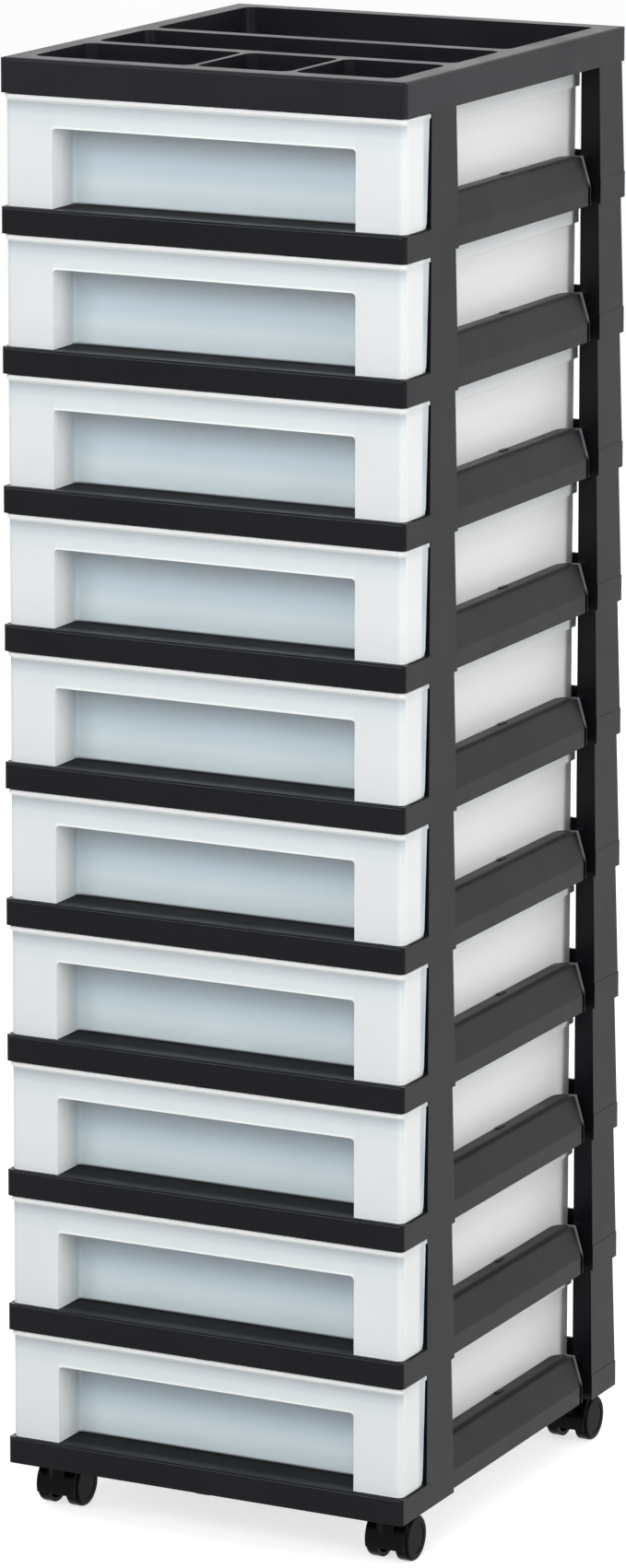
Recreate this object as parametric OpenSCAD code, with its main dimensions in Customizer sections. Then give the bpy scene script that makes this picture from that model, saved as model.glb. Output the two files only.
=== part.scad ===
// Ten-drawer storage tower on casters: stacked tier frames, pull-out drawers
// and an open organizer tray. Millimetres, +Z up, front towards -Y, origin on
// the floor under the middle of the tower.

/* [Tower] */
// Overall width of the frames
body_w = 317; // [300:1:340]
// Overall depth of the frames
body_d = 364; // [350:1:390]
// Height of one tier, from frame to frame
pitch = 100; // [96:1:112]
// Wall thickness of the dark mouldings
wall = 2.5; // [2:0.1:3]
// Radius of the upright front corners
corner_r = 3; // [2:0.25:4]

/* [Tier frame] */
// Height of the front rail and of the shelf the drawers slide on
rail_h = 19; // [17:0.5:22]
// Depth of the front rail's shelf
shelf_d = 44; // [42:0.5:47]
// Radius along the top front edge of the rail
rail_edge_r = 2; // [1:0.25:3]
// Distance of the groove in the rail's top from the front
groove_y = 3.4; // [3:0.1:4]
// Depth and width of that groove
groove_w = 1; // [0.6:0.1:1.2]
// Width of the nub under the middle of the front rail
nub_w = 11; // [8:0.5:14]
// Distance of the front posts' leading edge from the front, at the top
post_y = 43.5; // [42:0.5:46]
// How far the leading edge of a front post comes forward at its foot
post_lean = 4; // [2:0.5:5]
// Depth of a front post at the top
post_d = 39; // [34:0.5:44]
// Extra depth at the foot of each post
post_flare = 2; // [1:0.25:3]
// Inward width of the posts' flanges
post_x = 16; // [14:0.5:17]
// Inward draft of the posts' outer faces over one tier
post_draft = 1.5; // [0.5:0.1:2]
// Depth of the rear ring shelf and of the rear posts at their feet
rear_d = 42.5; // [40:0.5:46]
// Height of the lip across the back
back_lip_h = 33; // [28:0.5:40]
// Distance of the back lip from the rear plane
back_lip_inset = 2; // [1:0.25:3]
// Fillet between the shelf and the front posts
foot_fillet_r = 4; // [2:0.5:4]

/* [Side rail] */
// Setback of the side skirts from the outer faces
skirt_inset = 4; // [3:0.25:5]
// Height of the upright part of the skirts
skirt_h = 13; // [10:0.5:16]
// Inward run of the sloping part of the skirts
slope_run = 6.5; // [4:0.5:8]
// Height of the ledge beside the drawer
ledge_h = 35.5; // [32:0.5:40]
// Fall of the ledge towards the drawer
ledge_fall = 1; // [0.5:0.1:1.5]
// Width of the runner under the drawer's edge
runner_w = 10; // [8:0.5:20]
// Gap between the end of a side rail and the rear post
rail_end_gap = 8; // [6:0.5:10]
// Plan radius at the inner rear end of the ledge
ledge_end_r = 10; // [6:0.5:12]
// Distance of the ledge bump from the front
bump_y = 211; // [180:1:240]
// Depth of the groove before the rail's rear end
end_groove = 1.2; // [0.8:0.1:1.4]

/* [Drawer] */
// Wall thickness of the drawers
drawer_wall = 2; // [1.6:0.1:2.4]
// Outside width of the bin at its foot
bin_w = 261; // [252:1:264]
// Widening of each bin side towards the top
bin_draft = 1.5; // [0.5:0.1:2]
// Distance of the bin's back from the front of the frame
bin_back_y = 338; // [325:1:340]
// Distance of the bin rim below the frame above
rim_drop = 3; // [2.5:0.5:10]
// Width of the rim flange
rim_flange_w = 3; // [2:0.5:5]
// Height of the rim flange's downturned edge
rim_lip_h = 13.5; // [6:0.5:15]
// Plan radius of the bin's rear corners
bin_r = 4; // [3:0.5:10]
// Setback of the drawer face from the rail face
face_y = 3.5; // [2.5:0.25:5]
// Side gap between the drawer face and the outer face of the frame
face_gap = 2; // [1.5:0.25:3]
// Depth of the drawer front, face to its rear edge
front_d = 37.5; // [36:0.25:38]
// How far the columns beside the recess reach in from the bin's sides
column_in = 12; // [8:0.5:14]
// Height of the header above the recess, from the frame above
header_h = 23.5; // [20:0.5:30]
// Depth of the recess
recess_d = 31; // [26:0.5:32]
// Height of the inner wall that doubles the header above the recess
pull_h = 10; // [6:0.5:12]
// Radius of the recess corners
recess_r = 3; // [2:0.25:5]
// Radius of the upright corners of the drawer front
front_r = 5; // [3:0.5:6]
// Height of the lip along the top of the drawer front
top_lip_h = 3; // [2:0.25:4]
// How far the top lip stands out from the face
top_lip_out = 1.5; // [1:0.25:2]
// Distance of the stop tabs from the front of the frame
stop_y = 272; // [250:1:290]
// Clearance under the frame above
head_gap = 1; // [0.7:0.1:1.5]
// Clearance between the drawer and the shelf
slide_gap = 0.3; // [0.2:0.05:0.5]
// Clearance between the bin and its guides
guide_gap = 1; // [0.6:0.1:1.5]

/* [Organizer tray] */
// Height of the tray
tray_h = 25; // [22:0.5:35]
// Radius along the tray's top edges
tray_edge_r = 2.5; // [1:0.25:3]
// Width of the tray's rim
rim_w = 17; // [14:0.5:20]
// Depth of the three front compartments
tray_row1 = 83; // [70:1:95]
// Depth of the long slot
tray_row2 = 76; // [60:1:90]
// Width of the long dividers
tray_div = 12; // [8:0.5:14]
// Width of the short dividers
tray_short_div = 4.5; // [3.5:0.5:8]
// Width of the left front compartment
tray_cell_a = 124; // [100:1:140]
// Width of the middle front compartment
tray_cell_b = 72; // [50:1:85]
// Plan radius in the compartments
tray_r = 8; // [5:0.5:12]

/* [Casters] */
// Height of the base of the bottom frame above the floor
caster_h = 39; // [38:0.5:46]
// Wheel diameter
wheel_d = 33.4; // [30:0.2:34]
// Width of one wheel
wheel_w = 9.6; // [8:0.2:11]
// Distance between the two wheels' middles
wheel_track = 24.4; // [23.6:0.2:27]
// Distance from the swivel axis back to the axle
trail = 12.4; // [10:0.2:13]
// Height of the hood's lower edge above the floor
hood_z = 11; // [5:0.5:13]
// Distance of the swivel axes from the outer faces of the frame
stem_in = 25.5; // [21:0.5:30]
// Distance of the swivel axes from the front and the rear
stem_y = 29.5; // [29.5:0.1:32]
// Diameter of the stem pressed into the frame
stem_d = 7; // [6:0.25:8]
// Diameter of the swivel pin
pin_d = 6; // [5:0.25:7]
// Diameter of the axle
axle_d = 5; // [4:0.25:6]
// Radial running clearance
run_gap = 0.08; // [0.05:0.01:0.1]

/* [Hidden] */
$fn = 48;
eps = 0.01;
half_w = body_w/2;
guide_x = bin_w/2 + guide_gap;          // inner face of the drawer guides
skirt_x = half_w - skirt_inset;         // outer face of the side skirts
ledge_x = skirt_x - slope_run;          // outer edge of the ledge
post_rear = post_y + post_d;            // back of a front post at the top
post_foot0 = post_y - post_lean;        // front of a front post at its foot
post_foot1 = post_rear + post_flare;    // back of a front post at its foot
rear_y = body_d - rear_d;               // front of the rear posts
rail_y0 = post_foot1 - wall*0.8;        // side rail starts inside the post
rail_y1 = rear_y - rail_end_gap;        // side rail ends short of the rear post
rear_lean = post_flare + 1.5;           // slope of the rear posts' back
seat_pin = [8, 26, 6];                  // pins on the posts' tops
seat_gap = 0.4;                         // clearance round those pins
socket_wall = 3.5;                      // wall round a stem socket
socket_floor = 2;                       // solid left above a stem socket
drawer_z0 = rail_h + slide_gap;         // underside of a drawer
drawer_z1 = pitch - head_gap;           // top of a drawer front
bin_top = pitch - rim_drop;             // top of the bin's rim
recess_z = pitch - header_h;            // top of the recess
bin_half = bin_w/2;
recess_half = bin_half - column_in;     // half width of the recess
face_half = half_w - face_gap;          // half width of a drawer front
panel_t = drawer_wall + 0.2;            // wall of the drawer front
tray_z = caster_h + 10*pitch;           // underside of the tray
tray_floor = 2.5;
skirt_tabs = [-89, 43];                 // middles of the tabs under the skirt
tray_inner = body_w - 2*rim_w;
tray_row3 = body_d - 2*rim_w - tray_row1 - tray_row2 - 2*tray_div;
tab_w = 6;                              // width of a stop tab
tab_t = 3;                              // thickness of a stop tab
tab_drop = 5;                           // how far a stop tab hangs into the ring
wheel_r = wheel_d/2;
fork_top = caster_h - 1.8;              // top of a caster housing
flange_t = 1.5;                         // collar on the caster stem
hub_gap = 0.4;                          // gap between wheel and housing
hood_gap = 0.5;                         // gap between the treads and the hood
hood_t = 1.3;                           // wall of the hood over the treads
hood_bare = 1.6;                        // width of each outer rim the hood leaves bare
hood_back = 8;                          // reach of the hood behind the axle
housing_w = wheel_track - wheel_w - 2*hub_gap;
axle_l = wheel_track + 6;

// ---------------------------------------------------------------- helpers

// Profile drawn in Y and Z, extruded along X between two planes
module along_x(x0, x1) {
    translate([x0, 0, 0]) rotate([90, 0, 90]) linear_extrude(x1 - x0) children();
}

// Profile drawn in X and Z, extruded along Y between two planes
module along_y(y0, y1) {
    translate([0, y1, 0]) rotate([90, 0, 0]) linear_extrude(y1 - y0) children();
}

// Box between two corners
module box(a, b) {
    translate(a) cube(b - a);
}

// Both sides of the middle plane
module both_sides() {
    children();
    mirror([1, 0, 0]) children();
}

// Rectangle between two corners with rounded corners
module round_rect(a, b, r) {
    translate([a[0] + r, a[1]]) square([b[0] - a[0] - 2*r, b[1] - a[1]]);
    translate([a[0], a[1] + r]) square([b[0] - a[0], b[1] - a[1] - 2*r]);
    for (x = [a[0] + r, b[0] - r], y = [a[1] + r, b[1] - r])
        translate([x, y]) circle(r);
}

// Rectangle whose corners are rounded on the low second-axis side only
module round_low(a, b, r) {
    translate([a[0] + r, a[1]]) square([b[0] - a[0] - 2*r, b[1] - a[1]]);
    translate([a[0], a[1] + r]) square([b[0] - a[0], b[1] - a[1] - r]);
    for (x = [a[0] + r, b[0] - r]) translate([x, a[1] + r]) circle(r);
}

// Rectangle whose corners are rounded on the high second-axis side only
module round_high(a, b, r) {
    translate([a[0], a[1]]) square([b[0] - a[0], b[1] - a[1] - r]);
    translate([a[0] + r, a[1]]) square([b[0] - a[0] - 2*r, b[1] - a[1]]);
    for (x = [a[0] + r, b[0] - r]) translate([x, b[1] - r]) circle(r);
}

// Concave corner between a floor and a wall on the positive side, with roots
module fillet_2d(r, root) {
    difference() {
        translate([-r, -root]) square([r + root, r + root]);
        translate([-r, r]) circle(r);
    }
}

// ------------------------------------------------------------- tier frame

// Front rail: a shelf with a face, ends and an inner lip, open underneath
module front_rail() {
    difference() {
        intersection() {
            along_x(-half_w, half_w) difference() {
                square([shelf_d, rail_h]);
                translate([0, rail_h - rail_edge_r]) difference() {
                    translate([-eps, 0]) square(rail_edge_r + eps);
                    translate([rail_edge_r, 0]) circle(rail_edge_r);
                }
            }
            linear_extrude(rail_h) round_low([-half_w, 0], [half_w, shelf_d], corner_r);
        }
        box([-half_w + wall, wall, -1], [half_w - wall, shelf_d - wall, rail_h - wall]);
        box([-half_w + corner_r, groove_y, rail_h - groove_w],
            [half_w - corner_r, groove_y + groove_w, rail_h + 1]);
    }
    for (i = [-2:2]) box([i*body_w/6 - 0.8, wall - 1, rail_h/3],
                         [i*body_w/6 + 0.8, shelf_d - wall + 1, rail_h - wall + 1]);
    // nub under the middle of the face
    along_y(wall*0.2, wall*0.9) translate([0, head_gap*0.6]) intersection() {
        circle(nub_w/2);
        translate([-nub_w/2, -head_gap*1.1]) square([nub_w, head_gap*2]);
    }
}

// Rear ring shelf with the raised lip across the back
module rear_rail() {
    difference() {
        box([-half_w, rear_y, 0], [half_w, body_d, rail_h]);
        box([-half_w + wall, rear_y + wall, -1], [half_w - wall, body_d - wall, rail_h - wall]);
    }
    along_y(body_d - back_lip_inset - wall, body_d - back_lip_inset)
        round_high([-half_w + post_x/2, rail_h - 1], [half_w - post_x/2, back_lip_h], 1.5);
    for (i = [-2:2]) box([i*body_w/6 - 0.8, rear_y + wall - 1, rail_h/3],
                         [i*body_w/6 + 0.8, body_d - wall + 1, rail_h - wall + 1]);
}

// Outline of one side rail across its width, grown inwards by the wall
module rail_section(t) {
    top = ledge_h - t;
    polygon([
        [guide_x + t, -1], [skirt_x - t, -1], [skirt_x - t, skirt_h],
        [ledge_x - t*0.8, top], [guide_x + t, top - ledge_fall]
    ]);
}

// Plan outline of one side rail, rounded at the inner rear end
module rail_plan(t) {
    r = ledge_end_r - t;
    x0 = guide_x + t;
    y1 = rail_y1 - t;
    translate([x0 + r, rail_y0 - 1]) square([skirt_x - x0 - r + 1, y1 - rail_y0 + 1]);
    translate([x0, rail_y0 - 1]) square([skirt_x - x0, y1 - rail_y0 + 1 - r]);
    translate([x0 + r, y1 - r]) circle(r);
}

// Side rail: a hollow moulding with a sloping skirt, a ledge and a guide wall
module side_rail() {
    difference() {
        intersection() {
            along_y(rail_y0, rail_y1) rail_section(0);
            linear_extrude(ledge_h) rail_plan(0);
        }
        intersection() {
            along_y(rail_y0 - 1, rail_y1 - wall) rail_section(wall);
            translate([0, 0, -1]) linear_extrude(ledge_h) rail_plan(wall);
        }
        // groove that sets off a rib at the rear end
        difference() {
            box([guide_x + ledge_end_r + 0.5, rail_y1 - 2*wall, -1],
                [half_w, rail_y1 - wall*0.55, ledge_h + 1]);
            along_y(rail_y1 - 3*wall, rail_y1) rail_section(end_groove);
        }
    }
    // bump beside the drawer
    box([guide_x + 1, bump_y - 5, ledge_h - wall],
        [guide_x + 4, bump_y + 5, ledge_h - ledge_fall + 0.9]);
}

// Guide wall and runner that reach from the front shelf to the rear shelf
module runner() {
    box([guide_x, shelf_d - wall, 0], [guide_x + wall, rail_y0 + 1, ledge_h - ledge_fall]);
    box([guide_x, rail_y1 - ledge_end_r - 1, 0], [guide_x + wall, rear_y + 1, rail_h]);
    box([guide_x - runner_w, shelf_d - 1, rail_h - wall], [guide_x + 1, rear_y + 1, rail_h]);
    box([guide_x - runner_w, shelf_d - 1, rail_h/3],
        [guide_x - runner_w + wall, rear_y + 1, rail_h - wall + 1]);
}

// Upright post: an inward-facing channel with drafted faces
module post(foot, top) {
    difference() {
        intersection() {
            along_x(half_w - post_x, half_w)
                polygon([[foot[0], 0], [foot[1], 0], [top[1], pitch], [top[0], pitch]]);
            along_y(0, body_d) polygon([
                [0, 0], [half_w, 0], [half_w - post_draft, pitch], [0, pitch]
            ]);
        }
        intersection() {
            along_x(0, half_w) polygon([
                [foot[0] + wall, wall], [foot[1] - wall, wall],
                [top[1] - wall, pitch - wall], [top[0] + wall, pitch - wall]
            ]);
            along_y(0, body_d) polygon([
                [0, 0], [half_w - wall, 0], [half_w - wall - post_draft, pitch], [0, pitch]
            ]);
        }
    }
}

// Middle of the seat pin on each post, in X and Y
seat_x = half_w - post_draft - post_x/2;
seat_front = (post_y + post_rear)/2;
seat_rear = (rear_y + body_d - rear_lean)/2;

// Pin on top of a post that locates the frame above
module seat_pins() {
    for (y = [seat_front, seat_rear])
        translate([seat_x - seat_pin[0]/2, y - seat_pin[1]/2, pitch - wall/2])
            cube([seat_pin[0], seat_pin[1], seat_pin[2] + wall/2]);
}

// Hole that takes the pin of the frame below
module seat_holes(h) {
    for (y = [seat_front, seat_rear])
        translate([seat_x - seat_pin[0]/2 - seat_gap, y - seat_pin[1]/2 - seat_gap, -1])
            cube([seat_pin[0] + 2*seat_gap, seat_pin[1] + 2*seat_gap, h + 1]);
}

// Where the four caster stems stand, in frame coordinates
function stem_at(side, back) = [side*(half_w - stem_in), back ? body_d - stem_y : stem_y];

// Socket boss for a caster stem under the ring
module socket_boss() {
    cylinder(h = rail_h - wall + 1, d = stem_d + 2*socket_wall);
}

module frame_body() {
    front_rail();
    rear_rail();
    both_sides() {
        difference() {
            union() {
                post([post_foot0, post_foot1], [post_y, post_rear]);
                post([rear_y, body_d], [rear_y, body_d - rear_lean]);
                box([guide_x + 1, post_foot0 + 1, 0], [half_w - post_x + 1, post_foot1 - 1, wall]);
                box([guide_x + 1, rear_y + 1, 0], [half_w - post_x + 1, body_d - 1, wall]);
            }
            seat_holes(wall);
        }
        // fillet between the shelf and the post
        along_x(half_w - post_x, half_w - post_draft)
            translate([post_foot0 + post_lean*(rail_h + foot_fillet_r)/pitch + 0.05, rail_h])
                fillet_2d(foot_fillet_r, wall/2);
        side_rail();
        runner();
        seat_pins();
    }
}

// Frame of one tier; the bottom one carries the caster sockets
module tier_frame(k) {
    color([0.14, 0.14, 0.155]) translate([0, -body_d/2, caster_h + (k - 1)*pitch])
        if (k == 1) difference() {
            union() {
                frame_body();
                for (side = [-1, 1], back = [false, true])
                    translate(concat(stem_at(side, back), 0)) socket_boss();
            }
            for (side = [-1, 1], back = [false, true])
                translate(concat(stem_at(side, back), -1))
                    cylinder(h = rail_h - wall - socket_floor + 1, d = stem_d + 0.1);
        }
        else frame_body();
}

// ----------------------------------------------------------------- drawer

// Outline of the drawer front seen from the side, less a margin all round
module front_side(t) {
    z0 = drawer_z0 + t;
    z1 = drawer_z1 - t;
    y0 = face_y + t;
    y1 = face_y + front_d - t;
    r = foot_fillet_r + 2 - t/2;
    polygon([[y0, z0], [y1 - post_lean - r/4, z0], [y1 - post_lean - r/4, z0 + r],
             [y1 - post_lean, z0 + r], [y1, z1], [y0, z1]]);
    intersection() {
        translate([y1 - post_lean - r, z0 + r]) circle(r);
        translate([y0, z0]) square([front_d, r]);
    }
}

// Hollow drawer front: header, two columns and the recess between them
module drawer_front() {
    difference() {
        intersection() {
            along_x(-face_half, face_half) front_side(0);
            translate([0, 0, drawer_z0 - 1]) linear_extrude(pitch)
                round_low([-face_half, face_y], [face_half, body_d/2], front_r);
        }
        // inside of the columns and the header
        difference() {
            intersection() {
                along_x(-face_half + panel_t, face_half - panel_t)
                    translate([0, drawer_z0 + panel_t])
                        square([body_d/4, drawer_z1 - drawer_z0 - 2*panel_t]);
                translate([0, 0, drawer_z0 - 1]) linear_extrude(pitch)
                    round_low([-face_half + panel_t, face_y + panel_t],
                              [face_half - panel_t, body_d/2], front_r - panel_t);
            }
            recess(panel_t);
        }
        recess(0);
    }
    // lip along the top
    intersection() {
        box([-face_half - face_gap/2, face_y - top_lip_out, drawer_z1 - top_lip_h],
            [face_half + face_gap/2, face_y + front_d, drawer_z1]);
        translate([0, 0, drawer_z1 - top_lip_h - 1]) linear_extrude(top_lip_h + 2) difference() {
            round_low([-face_half - face_gap/2, face_y - top_lip_out],
                      [face_half + face_gap/2, body_d/2], front_r);
            round_low([-face_half + panel_t/2, face_y + panel_t/2],
                      [face_half - panel_t/2, body_d], front_r - panel_t/2);
        }
    }
}

// Space of the recess, grown by the wall for the lining behind it
module recess(t) {
    x = recess_half + t;
    intersection() {
        along_y(-1, body_d/4) round_high([-x, 0], [x, recess_z + t], recess_r + t);
        translate([0, 0, -1]) linear_extrude(pitch + 1)
            round_high([-x, -2], [x, face_y + recess_d + t], recess_r + t);
    }
}

// Outer form of the bin, less a margin on the sides and the floor
module bin_form(t, top) {
    y0 = face_y + recess_d;
    y1 = bin_back_y - bin_draft;
    k = bin_draft/(bin_top - drawer_z0);
    up = top - drawer_z0;
    intersection() {
        along_y(0, bin_back_y + 1) polygon([
            [-bin_half + t, drawer_z0 + t], [bin_half - t, drawer_z0 + t],
            [bin_half - t + k*up, top], [-bin_half + t - k*up, top]
        ]);
        along_x(-half_w, half_w) polygon([
            [y0 + t, drawer_z0 + t], [y1 - t, drawer_z0 + t], [y1 - t + k*up, top], [y0 + t, top]
        ]);
        translate([0, 0, drawer_z0]) linear_extrude(top - drawer_z0)
            round_high([-bin_half - bin_draft + t, y0], [bin_half + bin_draft - t, bin_back_y - t],
                       bin_r - t/2);
    }
}

// Plan outline of the rim flange, less a margin
module rim_plan(t) {
    x = bin_half + bin_draft + rim_flange_w - t;
    round_high([-x, face_y + front_d - 1], [x, bin_back_y + rim_flange_w - t],
               bin_r + rim_flange_w - t);
}

module drawer_body() {
    difference() {
        union() {
            drawer_front();
            bin_form(0, bin_top);
            // rim flange round the sides and the back
            translate([0, 0, bin_top - drawer_wall]) linear_extrude(drawer_wall) rim_plan(0);
            // downturned edge of the flange
            translate([0, 0, bin_top - rim_lip_h]) linear_extrude(rim_lip_h) difference() {
                rim_plan(0);
                rim_plan(drawer_wall*0.7);
            }
        }
        bin_form(drawer_wall, bin_top + pitch);
        // the bin opens into the hollow header
        box([-bin_half + drawer_wall, face_y + panel_t, recess_z + panel_t],
            [bin_half - drawer_wall, face_y + recess_d + panel_t + 1, drawer_z1 - panel_t]);
    }
    // doubled wall above the recess and ribs in line with its sides
    x = recess_half + panel_t;
    box([-x + 1, face_y + 2*panel_t, recess_z + panel_t/2],
        [x - 1, face_y + 2*panel_t + drawer_wall*0.8, recess_z + pull_h]);
    both_sides() box([x - panel_t, face_y + panel_t/2, recess_z],
                     [x, face_y + recess_d, drawer_z1 - panel_t/2]);
    // stop tabs that meet the front rail when the drawer is out
    both_sides() box([bin_half - runner_w - tab_w, stop_y, drawer_z0 - tab_drop],
                     [bin_half - runner_w, stop_y + tab_t, drawer_z0 + drawer_wall/2]);
}

module drawer(k) {
    color([0.86, 0.88, 0.9]) translate([0, -body_d/2, caster_h + (k - 1)*pitch]) drawer_body();
}

// --------------------------------------------------------- organizer tray

// One compartment's outline in plan, grown by a margin
module cell(a, b, t) {
    round_rect([a[0] - t, a[1] - t], [b[0] + t, b[1] + t], tray_r + t);
}

// Corners of the five compartments, in plan
cell_x0 = -half_w + rim_w;
cell_x1 = cell_x0 + tray_cell_a;
cell_x2 = cell_x1 + tray_short_div;
cell_x3 = cell_x2 + tray_cell_b;
cell_x4 = cell_x3 + tray_short_div;
cell_y1 = rim_w + tray_row1;
cell_y2 = cell_y1 + tray_div;
cell_y3 = cell_y2 + tray_row2;
cell_y4 = cell_y3 + tray_div;
CELLS = [
    [[cell_x0, rim_w], [cell_x1, cell_y1]],
    [[cell_x2, rim_w], [cell_x3, cell_y1]],
    [[cell_x4, rim_w], [-cell_x0, cell_y1]],
    [[cell_x0, cell_y2], [-cell_x0, cell_y3]],
    [[cell_x0, cell_y4], [-cell_x0, body_d - rim_w]]
];

// Profile with rounded top edges
module tray_profile(w) {
    round_high([-w/2, 0], [w/2, tray_h], tray_edge_r);
}

module tray_body() {
    difference() {
        union() {
            // skirt and rim
            difference() {
                intersection() {
                    along_y(0, body_d) tray_profile(body_w);
                    along_x(-half_w, half_w) translate([body_d/2, 0]) tray_profile(body_d);
                    linear_extrude(tray_h) round_rect([-half_w, 0], [half_w, body_d], corner_r);
                }
                box([-half_w + wall, wall, -1], [half_w - wall, body_d - wall, tray_h - wall]);
            }
            // walls and floors of the compartments
            for (c = CELLS) linear_extrude(tray_h - wall/2) cell(c[0], c[1], wall*0.8);
            // seats on the posts
            both_sides() for (y = [seat_front, seat_rear])
                box([half_w - rim_w - wall, y - 19, 0], [half_w - wall/2, y + 19, wall]);
            // tabs under the front of the skirt
            for (x = skirt_tabs)
                box([x - 6, wall*0.2, -head_gap/2], [x + 6, wall*0.9, wall]);
        }
        for (c = CELLS) translate([0, 0, tray_floor]) linear_extrude(tray_h) cell(c[0], c[1], 0);
        both_sides() seat_holes(wall);
    }
}

module organizer_tray() {
    color([0.15, 0.15, 0.165]) translate([0, -body_d/2, tray_z]) tray_body();
}

// ---------------------------------------------------------------- casters

// Places a caster part at one corner; side -1 is left, back is the rear pair
module at_stem(side, back) {
    p = stem_at(side, back);
    translate([p[0], p[1] - body_d/2, 0]) children();
}

// Stem: pressed into the frame above its collar, swivel pin below it
module stem(side, back) {
    color([0.55, 0.56, 0.58]) at_stem(side, back) {
        translate([0, 0, caster_h - flange_t]) cylinder(h = flange_t, d = stem_d + 2*socket_wall);
        translate([0, 0, caster_h - flange_t/2])
            cylinder(h = rail_h - wall - socket_floor - 1 + flange_t/2, d = stem_d);
        translate([0, 0, fork_top - 11]) cylinder(h = 12, d = pin_d);
    }
}

// Housing: swivel boss, the body between the wheels and the hood over them
module housing(side, back) {
    boss_d = pin_d + 8;
    hood_r = wheel_r + hood_gap + hood_t;
    hood_w = wheel_track + wheel_w - 2*hood_bare;
    color([0.12, 0.12, 0.13]) at_stem(side, back) difference() {
        union() {
            translate([0, 0, fork_top - 14]) cylinder(h = 14, d = boss_d);
            along_x(-housing_w/2, housing_w/2) {
                intersection() {
                    translate([trail, wheel_r]) circle(hood_r);
                    translate([-wheel_d, hood_z]) square([wheel_d + trail + hood_back, wheel_d]);
                }
                translate([-boss_d/2 + 2, fork_top - 13]) square([trail, 10]);
            }
            // hood over the fronts and the tops of both wheels
            along_x(-hood_w/2, hood_w/2) difference() {
                intersection() {
                    translate([trail, wheel_r]) circle(hood_r);
                    translate([-wheel_d, hood_z]) square([wheel_d + trail + hood_back, wheel_d]);
                }
                translate([trail, wheel_r]) circle(hood_r - hood_t);
            }
        }
        // hollow behind the front of the hood, open downwards
        along_x(-housing_w/2 + 2, housing_w/2 - 2) difference() {
            intersection() {
                translate([trail, wheel_r]) circle(hood_r - 2.4);
                translate([trail - wheel_d, 0]) square([2*wheel_d, wheel_r]);
            }
            translate([trail, wheel_r]) circle(axle_d/2 + 3);
        }
        translate([0, 0, fork_top - 11.5]) cylinder(h = 20, d = pin_d + 2*run_gap);
        translate([0, trail, wheel_r]) rotate([0, 90, 0])
            cylinder(h = wheel_d, d = axle_d, center = true);
    }
}

module axle(side, back) {
    color([0.6, 0.61, 0.63]) at_stem(side, back) translate([0, trail, wheel_r])
        rotate([0, 90, 0]) cylinder(h = axle_l, d = axle_d, center = true);
}

// Half section of a wheel, hollow on the inner side round a hub
module wheel_section() {
    rim_r = 2.6;
    difference() {
        union() {
            square([wheel_r, wheel_w - rim_r]);
            square([wheel_r - rim_r, wheel_w]);
            translate([wheel_r - rim_r, wheel_w - rim_r]) circle(rim_r);
        }
        // hollow between the hub and the tread
        translate([axle_d/2 + 3, -1]) square([wheel_r - axle_d/2 - 6, wheel_w - 2]);
        // shallow dish on the outer face
        translate([0, wheel_w - 0.4]) square([wheel_r*0.66, 1]);
        // blind bore for the axle
        translate([0, -1]) square([axle_d/2 + run_gap, (axle_l - wheel_track + wheel_w)/2 + 1.4]);
    }
}

// Wheel whose outer face looks along the given direction in X
module wheel(side, back, out) {
    color([0.13, 0.13, 0.14]) at_stem(side, back)
        translate([out*(wheel_track - wheel_w)/2, trail, wheel_r])
            rotate([0, out*90, 0]) rotate_extrude($fn = 64) wheel_section();
}

// ------------------------------------------------------------------ nodes

tier_frame(1);  // frame_1
tier_frame(2);  // frame_2
tier_frame(3);  // frame_3
tier_frame(4);  // frame_4
tier_frame(5);  // frame_5
tier_frame(6);  // frame_6
tier_frame(7);  // frame_7
tier_frame(8);  // frame_8
tier_frame(9);  // frame_9
tier_frame(10);  // frame_10
organizer_tray();
drawer(1);  // drawer_1
drawer(2);  // drawer_2
drawer(3);  // drawer_3
drawer(4);  // drawer_4
drawer(5);  // drawer_5
drawer(6);  // drawer_6
drawer(7);  // drawer_7
drawer(8);  // drawer_8
drawer(9);  // drawer_9
drawer(10);  // drawer_10
stem(-1, false);  // stem_front_left
housing(-1, false);  // housing_front_left
axle(-1, false);  // axle_front_left
wheel(-1, false, -1);  // wheel_front_left_outer
wheel(-1, false, 1);  // wheel_front_left_inner
stem(1, false);  // stem_front_right
housing(1, false);  // housing_front_right
axle(1, false);  // axle_front_right
wheel(1, false, 1);  // wheel_front_right_outer
wheel(1, false, -1);  // wheel_front_right_inner
stem(-1, true);  // stem_rear_left
housing(-1, true);  // housing_rear_left
axle(-1, true);  // axle_rear_left
wheel(-1, true, -1);  // wheel_rear_left_outer
wheel(-1, true, 1);  // wheel_rear_left_inner
stem(1, true);  // stem_rear_right
housing(1, true);  // housing_rear_right
axle(1, true);  // axle_rear_right
wheel(1, true, 1);  // wheel_rear_right_outer
wheel(1, true, -1);  // wheel_rear_right_inner
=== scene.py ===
import math

import bpy
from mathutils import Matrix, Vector


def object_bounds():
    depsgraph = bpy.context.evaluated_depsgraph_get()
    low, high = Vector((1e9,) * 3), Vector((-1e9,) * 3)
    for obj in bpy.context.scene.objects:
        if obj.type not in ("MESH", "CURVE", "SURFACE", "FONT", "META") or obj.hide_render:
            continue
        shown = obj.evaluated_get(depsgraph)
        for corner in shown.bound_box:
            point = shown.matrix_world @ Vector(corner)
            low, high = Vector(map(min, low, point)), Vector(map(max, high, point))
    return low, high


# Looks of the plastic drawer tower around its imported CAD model. Lengths are in metres.

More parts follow.
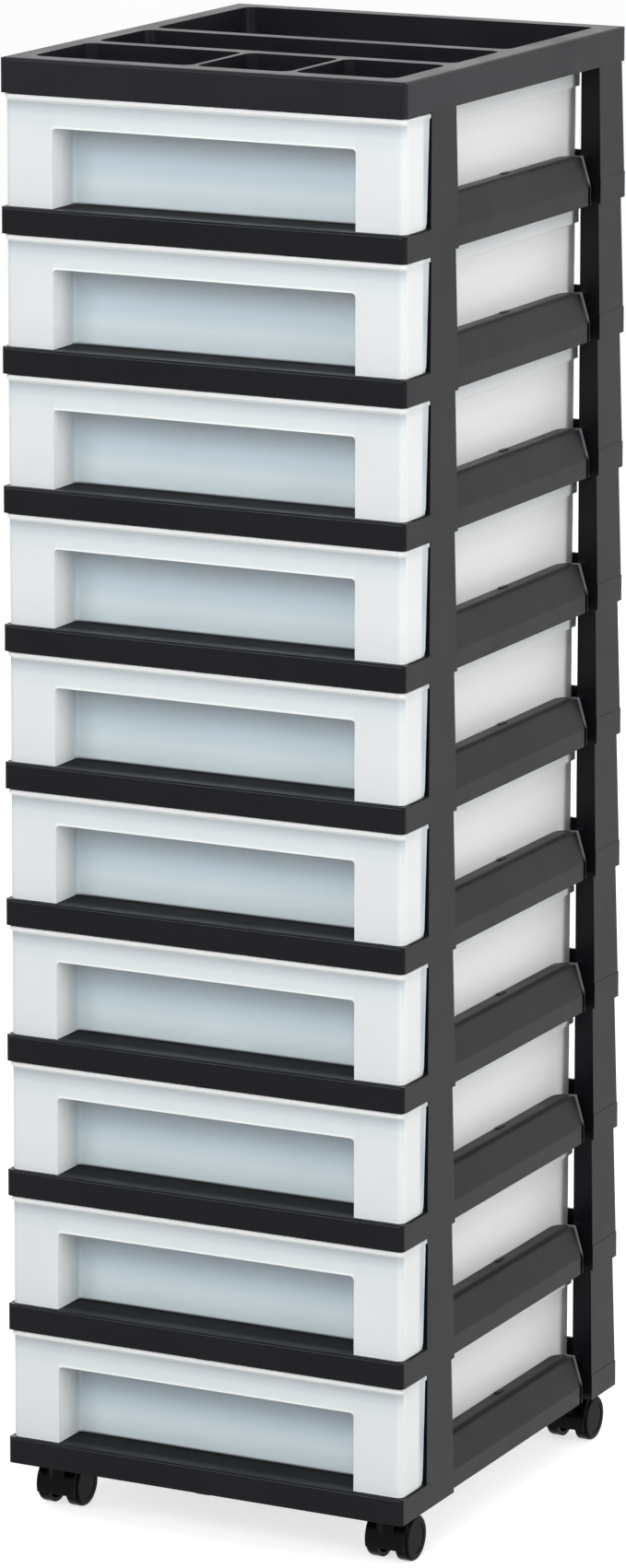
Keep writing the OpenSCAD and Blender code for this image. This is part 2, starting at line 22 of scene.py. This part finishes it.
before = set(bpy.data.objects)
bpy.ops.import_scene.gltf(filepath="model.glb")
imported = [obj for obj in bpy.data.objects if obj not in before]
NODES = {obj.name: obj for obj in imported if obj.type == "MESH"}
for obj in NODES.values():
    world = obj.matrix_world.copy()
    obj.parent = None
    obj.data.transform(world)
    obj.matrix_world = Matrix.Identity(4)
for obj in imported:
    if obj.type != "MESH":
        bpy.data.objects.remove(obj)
cad_lo, cad_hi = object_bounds()
TIERS = range(1, 11)
CORNERS = ("front_left", "front_right", "rear_left", "rear_right")

# Places on the tower, from part.scad's sizes
PITCH = 0.100                       # height of one tier
CASTER_H = 0.039                    # floor to the bottom frame
FRONT = cad_lo[1]                   # front plane of the frames
REAR = cad_hi[1]                    # rear plane of the frames
FACE_Y = FRONT + 0.0035             # face of the drawers
RECESS_Y = FACE_Y + 0.031           # back of the finger recess
FRONT_END_Y = FACE_Y + 0.0375       # rear edge of the drawers' front moulding
RAIL_END_Y = REAR - 0.0505          # rear end of the side rails
FACE_X = cad_hi[0] - 0.002          # sides of the drawers' front moulding
RECESS_X = 0.1185                   # sides of the finger recess
RIM_X = 0.135                       # outer edge of the bins' rim flange
LEDGE_X = cad_hi[0] - 0.0105        # outer edge of the side rails' ledge

# Heights within a tier, as shares of its pitch
RAIL_TOP = 0.190                    # front rail with its shelf
LEDGE_TOP = 0.355                   # ledge of the side rails
SKIRT_TOP = 0.130                   # skirt of the side rails


# ---------------------------------------------------------------- materials

BLACK = (0.0, 0.0, 0.0)
WHITE = (1.0, 1.0, 1.0)
DULLED = 0.44                       # roughness added on the frames' shelf and ledge
POLISHED = 0.17                     # roughness taken off the front rail's edge


class Mat:
    """A node material with its Principled shader and short ways to add nodes.

    A CAD object sits at the origin, so its object coordinates are places on the tower.
    """

    def __init__(self, name, **sockets):
        self.m = bpy.data.materials.new(name)
        self.m.use_nodes = True
        self.t = self.m.node_tree
        self.b = self.t.nodes["Principled BSDF"]
        self.coord = self.t.nodes.new("ShaderNodeTexCoord").outputs["Object"]
        for key, value in sockets.items():
            self.b.inputs[key.replace("_", " ")].default_value = value

    def link(self, a, b):
        self.t.links.new(a, b)

    def noise(self, scale, detail=2.0, rough=0.5, stretch=(1, 1, 1)):
        n = self.t.nodes.new("ShaderNodeTexNoise")
        n.inputs["Scale"].default_value = scale
        n.inputs["Detail"].default_value = detail
        n.inputs["Roughness"].default_value = rough
        src = self.coord
        if stretch != (1, 1, 1):
            mp = self.t.nodes.new("ShaderNodeMapping")
            mp.inputs["Scale"].default_value = stretch
            self.link(self.coord, mp.inputs["Vector"])
            src = mp.outputs["Vector"]
        self.link(src, n.inputs["Vector"])
        return n.outputs["Fac"]

    def axis(self, name):
        """One coordinate of the piece."""
        n = self.t.nodes.new("ShaderNodeSeparateXYZ")
        self.link(self.coord, n.inputs[0])
        return n.outputs[name]

    def tier(self):
        """Height within the tier: 0 at the frame's base, 1 at the next one's."""
        up = self.calc("SUBTRACT", self.axis("Z"), CASTER_H)
        return self.calc("FRACT", self.calc("MULTIPLY", up, 1 / PITCH))

    def calc(self, operation, a, b=None):
        """A Math node; b is a socket or a plain number."""
        n = self.t.nodes.new("ShaderNodeMath")
        n.operation = operation
        self.link(a, n.inputs[0])
        if isinstance(b, float):
            n.inputs[1].default_value = b
        elif b is not None:
            self.link(b, n.inputs[1])
        return n.outputs[0]

    def span(self, value, lo, hi, at=(0.3, 0.7)):
        """Gives lo where the value is at[0] or less, and hi where it is at[1] or more."""
        r = self.t.nodes.new("ShaderNodeMapRange")
        r.inputs["From Min"].default_value, r.inputs["From Max"].default_value = at
        r.inputs["To Min"].default_value, r.inputs["To Max"].default_value = lo, hi
        self.link(value, r.inputs["Value"])
        return r.outputs["Result"]

    def above(self, value, start, end):
        """Mask: 0 up to the start, 1 from the end on."""
        return self.span(value, 0.0, 1.0, (start, end))

    def below(self, value, start, end):
        """Mask: 1 up to the start, 0 from the end on."""
        return self.span(value, 1.0, 0.0, (start, end))

    def overlap(self, mask, *others):
        """Mask of what all the masks share."""
        for other in others:
            mask = self.calc("MULTIPLY", mask, other)
        return mask

    def ramp(self, fac, stops):
        """Colour ramp of two or more stops, each a position and a colour."""
        r = self.t.nodes.new("ShaderNodeValToRGB")
        while len(r.color_ramp.elements) < len(stops):
            r.color_ramp.elements.new(0.5)
        for e, (position, colour) in zip(r.color_ramp.elements, stops):
            e.position = position
            e.color = (*colour, 1)
        self.link(fac, r.inputs["Fac"])
        return r.outputs["Color"]

    def mix(self, fac, a, b):
        """Colour a where the factor is 0, b where it is 1; b is a socket or a plain colour."""
        n = self.t.nodes.new("ShaderNodeMix")
        n.data_type = "RGBA"
        # a Mix node's colours are its inputs 6 and 7 and its output 2
        self.link(fac, n.inputs[0])
        self.link(a, n.inputs[6])
        if isinstance(b, tuple):
            n.inputs[7].default_value = (*b, 1)
        else:
            self.link(b, n.inputs[7])
        return n.outputs[2]

    def bump(self, *layers):
        """Bump from layers of height, strength and distance."""
        prev = None
        for height, strength, distance in layers:
            b = self.t.nodes.new("ShaderNodeBump")
            b.inputs["Strength"].default_value = strength
            b.inputs["Distance"].default_value = distance
            self.link(height, b.inputs["Height"])
            if prev:
                self.link(prev, b.inputs["Normal"])
            prev = b.outputs["Normal"]
        self.link(prev, self.b.inputs["Normal"])


def black_plastic(name, low, high, rough, grain=0.12, level=0.17, wear_and_highlight=None):
    """Moulded black polypropylene: fine matte grain, faint flow marks and uneven gloss."""
    m = Mat(name, Specular_IOR_Level=level, Specular_Tint=(0.91, 0.93, 1.0, 1))
    shade = m.ramp(m.noise(9, 3), [(0.3, low), (0.7, high)])
    gloss = m.span(m.noise(16, 4, 0.6), rough - 0.05, rough + 0.06)
    # the optional function changes the gloss at worn places and may paint highlights into the
    # colour
    if wear_and_highlight:
        shade, gloss = wear_and_highlight(m, shade, gloss)
    m.link(shade, m.b.inputs["Base Color"])
    m.link(gloss, m.b.inputs["Roughness"])
    m.bump((m.noise(14, 2), 0.10, 0.004), (m.noise(1500, 2, 0.6), grain, 0.0004))
    return m.m


def frame_wear_and_highlight(m, shade, gloss):
    """Worn places of the frames: dull shelf and ledge, polished front edge, and a painted
    highlight on the rib at the rear end of the side rails.
    """
    x = m.calc("ABSOLUTE", m.axis("X"))
    y = m.axis("Y")
    tier = m.tier()

    # tops of the shelf, behind its front edge, and of the ledge
    shelf = m.overlap(m.above(y, FRONT + 0.003, FRONT + 0.014),
                      m.below(y, FRONT + 0.038, FRONT + 0.040),
                      m.above(tier, RAIL_TOP - 0.010, RAIL_TOP - 0.003))
    ledge = m.overlap(m.above(tier, LEDGE_TOP - 0.020, LEDGE_TOP - 0.013),
                      m.below(tier, LEDGE_TOP + 0.002, LEDGE_TOP + 0.007),
                      m.below(x, LEDGE_X - 0.0005, LEDGE_X + 0.0005),
                      m.span(x, 0.25, 1.0, (LEDGE_X - 0.0080, LEDGE_X - 0.0045)))
    dull = m.calc("MULTIPLY", m.calc("MAXIMUM", shelf, ledge), DULLED)
    gloss = m.calc("ADD", gloss, dull)

    # rounded top edge of the front rail
    edge = m.overlap(m.below(y, FRONT + 0.0018, FRONT + 0.0024),
                     m.above(tier, RAIL_TOP - 0.025, RAIL_TOP - 0.018),
                     m.below(tier, RAIL_TOP + 0.002, RAIL_TOP + 0.010))
    gloss = m.calc("SUBTRACT", gloss, m.calc("MULTIPLY", edge, POLISHED))

    # painted highlight: a pale line along the rib at the rear end of the side rails, where its
    # edge catches the light
    rib = m.overlap(m.above(y, RAIL_END_Y - 0.0018, RAIL_END_Y - 0.0013),
                    m.below(y, RAIL_END_Y + 0.0005, RAIL_END_Y + 0.0015),
                    m.above(x, LEDGE_X - 0.0080, LEDGE_X - 0.0070),
                    m.above(tier, SKIRT_TOP, SKIRT_TOP + 0.040),
                    m.below(tier, LEDGE_TOP + 0.002, LEDGE_TOP + 0.007))
    return m.mix(rib, shade, (0.15, 0.15, 0.155)), gloss


def front_shade(m, x, y, tier):
    """Front moulding of a drawer: columns and header with painted shade and highlights, sides
    painted brighter, lining of the recess with painted light and shade.
    """
    # painted shade on the face under its top lip, and the lip painted bright as if lit from above
    top = [(0.85, (0.72, 0.78, 0.80)), (0.90, (0.605, 0.655, 0.69)),
           (0.940, (0.455, 0.50, 0.515)), (0.954, (0.90, 0.92, 0.915))]
    # both have a painted highlight along their lower edge
    column = m.ramp(tier, [(0.192, (0.92, 0.95, 0.96)), (0.212, (0.76, 0.785, 0.795)),
                           (0.50, (0.80, 0.825, 0.84)), (0.75, (0.785, 0.815, 0.83))] + top)
    header = m.ramp(tier, [(0.764, (0.96, 0.98, 0.98)), (0.775, (0.96, 0.98, 0.98)),
                           (0.785, (0.765, 0.83, 0.85))] + top)
    face = m.mix(m.above(x, RECESS_X - 0.0015, RECESS_X + 0.0005), header, column)
    # painted light: the drawer's sides are brighter, as if lit from the right, with painted shade
    # under the lip
    flank = m.ramp(tier, [(0.22, (0.90, 0.92, 0.91)), (0.50, (0.95, 0.965, 0.955)),
                          (0.90, (0.92, 0.94, 0.93)), (0.95, (0.86, 0.885, 0.875))])
    outside = m.mix(m.above(x, FACE_X - 0.0007, FACE_X - 0.0001), face, flank)
    # painted light and shade: the lining is pale at the front and darker towards its rear
    # corners, deeper in the recess
    lining = m.ramp(m.above(y, FACE_Y, RECESS_Y - 0.0005),
                    [(0.0, (0.97, 0.975, 0.97)), (0.45, (0.95, 0.96, 0.955)),
                     (0.78, (0.79, 0.82, 0.825)), (0.95, (0.69, 0.755, 0.79))])
    inset = m.overlap(m.below(x, RECESS_X + 0.0003, RECESS_X + 0.0007),
                      m.above(y, FACE_Y + 0.0005, FACE_Y + 0.0010))
    return m.mix(inset, outside, lining)


def window_shade(m, x, tier):
    """Window at the back of the recess: painted contact shadow at its foot, bluish, painted
    greyer upwards as shade under the header.
    """
    panel = m.ramp(tier, [(0.197, (0.10, 0.11, 0.12)), (0.208, (0.84, 0.945, 0.99)),
                          (0.36, (0.85, 0.955, 0.99)), (0.46, (0.71, 0.83, 0.91)),
                          (0.56, (0.625, 0.74, 0.82)), (0.70, (0.62, 0.69, 0.74))])
    # painted shade near its upright edges, less of it towards the header
    side = m.ramp(tier, [(0.5, (0.50, 0.56, 0.59)), (1.0, WHITE)])
    return m.mix(m.span(x, 0.0, 0.35, (RECESS_X - 0.0145, RECESS_X - 0.0020)), panel, side)


def wall_shade(m, x, tier):
    """Side walls of a bin, painted darker towards the rim as shade under it, with the bluish
    strip of the rim's downturned edge and a painted highlight along that strip's lower edge.
    """
    # painted shade: the wall is darker towards the rim above it
    wall = m.ramp(tier, [(0.66, (0.965, 0.970, 0.960)), (0.84, (0.84, 0.85, 0.84))])
    # painted highlight along the lower edge of the rim's strip, paler again at its top
    rim = m.ramp(tier, [(0.835, (0.97, 0.98, 0.98)), (0.848, (0.84, 0.875, 0.88)),
                        (0.955, (0.82, 0.86, 0.87)), (0.97, (0.94, 0.96, 0.97))])
    return m.mix(m.above(x, RIM_X - 0.0018, RIM_X - 0.0013), wall, rim)


def milky_plastic(name):
    """Translucent polypropylene: textured opaque front, clearer smooth walls behind it."""
    m = Mat(name, Specular_IOR_Level=0.4, IOR=1.49)
    x = m.calc("ABSOLUTE", m.axis("X"))
    y = m.axis("Y")
    tier = m.tier()
    # 0 on the front moulding, 1 on the window and all behind it
    back = m.above(y, RECESS_Y - 0.0045, RECESS_Y - 0.0015)
    # 0 as far back as the window, 1 on the bin's walls
    walls = m.above(y, FRONT_END_Y - 0.003, FRONT_END_Y + 0.003)

    # the colour carries painted light and shade, set by place on the drawer
    behind = m.mix(walls, window_shade(m, x, tier), wall_shade(m, x, tier))
    shade = m.mix(back, front_shade(m, x, y, tier), behind)
    # faint patches: darker in the lower half of a tier, turning paler above it
    patch = m.ramp(tier, [(0.5, BLACK), (1.0, WHITE)])
    m.link(m.mix(m.span(m.noise(12, 3), 0.965, 1.0), patch, shade), m.b.inputs["Base Color"])

    # light passes through the window most, and through the front moulding least
    clear = m.calc("SUBTRACT", m.span(back, 0.22, 0.34, (0, 1)), m.span(walls, 0.0, 0.16, (0, 1)))
    m.link(clear, m.b.inputs["Transmission Weight"])
    m.link(m.span(m.noise(24, 4, 0.6), 0.32, 0.42), m.b.inputs["Roughness"])
    m.bump((m.noise(18, 2), 0.10, 0.003), (m.noise(1100, 2, 0.6), 0.06, 0.0004))
    return m.m


def zinc_steel(name):
    """Zinc-plated steel with a fine drawn grain."""
    m = Mat(name, Metallic=1.0)
    shade = m.ramp(m.noise(60, 3), [(0.3, (0.50, 0.50, 0.52)), (0.7, (0.60, 0.60, 0.61))])
    m.link(shade, m.b.inputs["Base Color"])
    m.link(m.span(m.noise(200, 3), 0.28, 0.40), m.b.inputs["Roughness"])
    m.bump((m.noise(700, 2, 0.5, (1, 1, 8)), 0.06, 0.0003))
    return m.m


# the frames get worn gloss and a painted highlight on the side rails' rear ribs
FRAME = black_plastic("frame plastic", (0.0030, 0.0032, 0.0042), (0.0044, 0.0046, 0.0058), 0.28,
                      wear_and_highlight=frame_wear_and_highlight)
TRAY = black_plastic("tray plastic", (0.0078, 0.0080, 0.0102), (0.0098, 0.0100, 0.0126), 0.32)
HOUSING = black_plastic("caster plastic", (0.0018, 0.0018, 0.0021), (0.0030, 0.0030, 0.0033),
                        0.22, grain=0.05, level=0.08)
WHEEL = black_plastic("wheel plastic", (0.0020, 0.0020, 0.0023), (0.0034, 0.0034, 0.0037),
                      0.22, grain=0.05, level=0.035)
MILKY = milky_plastic("drawer plastic")
STEEL = zinc_steel("zinc steel")


# ------------------------------------------------------------------- pieces

EDGE_ANGLE = 32                     # degrees: edges sharper than this are rounded
BLACK_EDGE = 0.0006                 # width of the rounding on each kind of piece
DRAWER_EDGE = 0.0007
WHEEL_EDGE = 0.0004
STEEL_EDGE = 0.0003


def dress(node, material, width):
    """Gives a CAD node its material and rounds its edges."""
    o = NODES[node]
    for s in o.material_slots:
        s.material = material
    if not o.material_slots:
        o.data.materials.append(material)
    b = o.modifiers.new("edges", "BEVEL")
    b.width = width
    b.segments = 2
    b.limit_method = "ANGLE"
    b.angle_limit = math.radians(EDGE_ANGLE)
    b.use_clamp_overlap = True
    b.harden_normals = True


for k in TIERS:
    dress(f"frame_{k}", FRAME, BLACK_EDGE)
    dress(f"drawer_{k}", MILKY, DRAWER_EDGE)
dress("organizer_tray", TRAY, BLACK_EDGE)
for c in CORNERS:
    dress(f"stem_{c}", STEEL, STEEL_EDGE)
    dress(f"axle_{c}", STEEL, STEEL_EDGE)
    dress(f"housing_{c}", HOUSING, BLACK_EDGE)
    for side in ("outer", "inner"):
        dress(f"wheel_{c}_{side}", WHEEL, WHEEL_EDGE)


# ------------------------------------------------------------ floor and world

FLOOR_HALF = 40                     # from the middle to the floor's edges
FLOOR_GREY = (0.55, 0.55, 0.55)     # diffuse colour, which takes the tower's shadow
FLOOR_GLOW = 0.66                   # lifts the lit floor to white, for the camera alone
SKY_LIGHT = 0.55                    # strength of the world as a light


def by_ray(tree, kinds, first, other):
    """Rays of the given kinds see the first shader, all others see the other one."""
    lp = tree.nodes.new("ShaderNodeLightPath")
    fac = None
    for kind in kinds:
        out = lp.outputs[kind]
        if fac:
            a = tree.nodes.new("ShaderNodeMath")
            a.operation = "MAXIMUM"
            tree.links.new(fac, a.inputs[0])
            tree.links.new(out, a.inputs[1])
            out = a.outputs[0]
        fac = out
    mix = tree.nodes.new("ShaderNodeMixShader")
    tree.links.new(fac, mix.inputs["Fac"])
    tree.links.new(other, mix.inputs[1])
    tree.links.new(first, mix.inputs[2])
    return mix.outputs[0]


def floor_material():
    """White with a shadow for the camera, white in reflections, grey for all other light."""
    m = bpy.data.materials.new("floor")
    m.use_nodes = True
    t = m.node_tree
    t.nodes.clear()
    diffuse = t.nodes.new("ShaderNodeBsdfDiffuse")
    diffuse.inputs["Color"].default_value = (*FLOOR_GREY, 1)
    glow = t.nodes.new("ShaderNodeEmission")
    glow.inputs["Color"].default_value = (*WHITE, 1)
    glow.inputs["Strength"].default_value = FLOOR_GLOW
    seen = t.nodes.new("ShaderNodeAddShader")
    t.links.new(diffuse.outputs[0], seen.inputs[0])
    t.links.new(glow.outputs[0], seen.inputs[1])
    white = t.nodes.new("ShaderNodeEmission")
    grey = diffuse.outputs[0]
    rest = by_ray(t, ("Is Glossy Ray", "Is Transmission Ray"), white.outputs[0], grey)
    out = t.nodes.new("ShaderNodeOutputMaterial")
    t.links.new(by_ray(t, ("Is Camera Ray",), seen.outputs[0], rest), out.inputs["Surface"])
    return m


def make_floor():
    h = FLOOR_HALF
    mesh = bpy.data.meshes.new("floor")
    mesh.from_pydata([(-h, -h, 0), (h, -h, 0), (h, h, 0), (-h, h, 0)], [], [(0, 1, 2, 3)])
    mesh.materials.append(floor_material())
    o = bpy.data.objects.new("floor", mesh)
    bpy.context.scene.collection.objects.link(o)
    return o


def make_sky():
    """White behind the tower and in reflections, and a softer even light."""
    world = bpy.data.worlds.new("studio")
    bpy.context.scene.world = world
    world.use_nodes = True
    t = world.node_tree
    t.nodes.clear()
    shaders = []
    for strength in (1.0, SKY_LIGHT):
        b = t.nodes.new("ShaderNodeBackground")
        b.inputs["Color"].default_value = (*WHITE, 1)
        b.inputs["Strength"].default_value = strength
        shaders.append(b.outputs[0])
    seen, lit = shaders
    out = t.nodes.new("ShaderNodeOutputWorld")
    shown = by_ray(t, ("Is Camera Ray", "Is Glossy Ray", "Is Transmission Ray"), seen, lit)
    t.links.new(shown, out.inputs["Surface"])


floor = make_floor()
make_sky()


# ------------------------------------------------------------------- lights

def softbox(name, at, aim_z, size, power):
    """Rectangular soft light, aimed at the tower's middle line at the height aim_z."""
    d = bpy.data.lights.new(name, "AREA")
    d.shape = "RECTANGLE"
    d.size, d.size_y = size
    d.energy = power
    o = bpy.data.objects.new(name, d)
    o.location = at
    o.rotation_euler = (Vector((0, 0, aim_z)) - Vector(at)).to_track_quat("-Z", "Y").to_euler()
    bpy.context.scene.collection.objects.link(o)


softbox("key", at=(1.1, -4.1, 2.8), aim_z=0.55, size=(2.2, 2.2), power=112)
softbox("fill", at=(-2.1, -3.9, 3.0), aim_z=0.8, size=(1.0, 1.0), power=26)
softbox("side", at=(3.3, -0.9, 1.9), aim_z=0.5, size=(1.6, 2.4), power=55)
softbox("top", at=(0.2, 0.2, 3.4), aim_z=0.9, size=(1.6, 1.6), power=34)
softbox("left", at=(-3.4, 0.5, 1.8), aim_z=0.5, size=(1.6, 2.2), power=26)
softbox("back", at=(-1.2, 3.2, 0.5), aim_z=0.5, size=(2.4, 0.7), power=24)


# ------------------------------------------------------------------- camera

# Solved from the straight edges of all the tiers in the photograph. Its upright lines are
# almost parallel, so the lens points above the tower's middle and is shifted down.
SENSOR = 36                         # mm, the height of the picture
LENS = 161.946                      # mm
SHIFT_Y = -0.28                     # share of the picture's height
CAMERA_AT = (2.2455, -4.4663, 1.6759)
DOWN, ROLL, TURN = 9.445, -0.038, 26.739      # degrees
VIEW_END = 200                      # the floor is seen this far

cam_data = bpy.data.cameras.new("camera")
cam_data.sensor_width = SENSOR
cam_data.lens = LENS
cam_data.shift_y = SHIFT_Y
cam_data.clip_end = VIEW_END
cam = bpy.data.objects.new("camera", cam_data)
cam.location = CAMERA_AT
cam.rotation_euler = (math.radians(90 - DOWN), math.radians(ROLL), math.radians(TURN))
bpy.context.scene.collection.objects.link(cam)
bpy.context.scene.camera = cam

bpy.context.scene.view_settings.view_transform = "Standard"
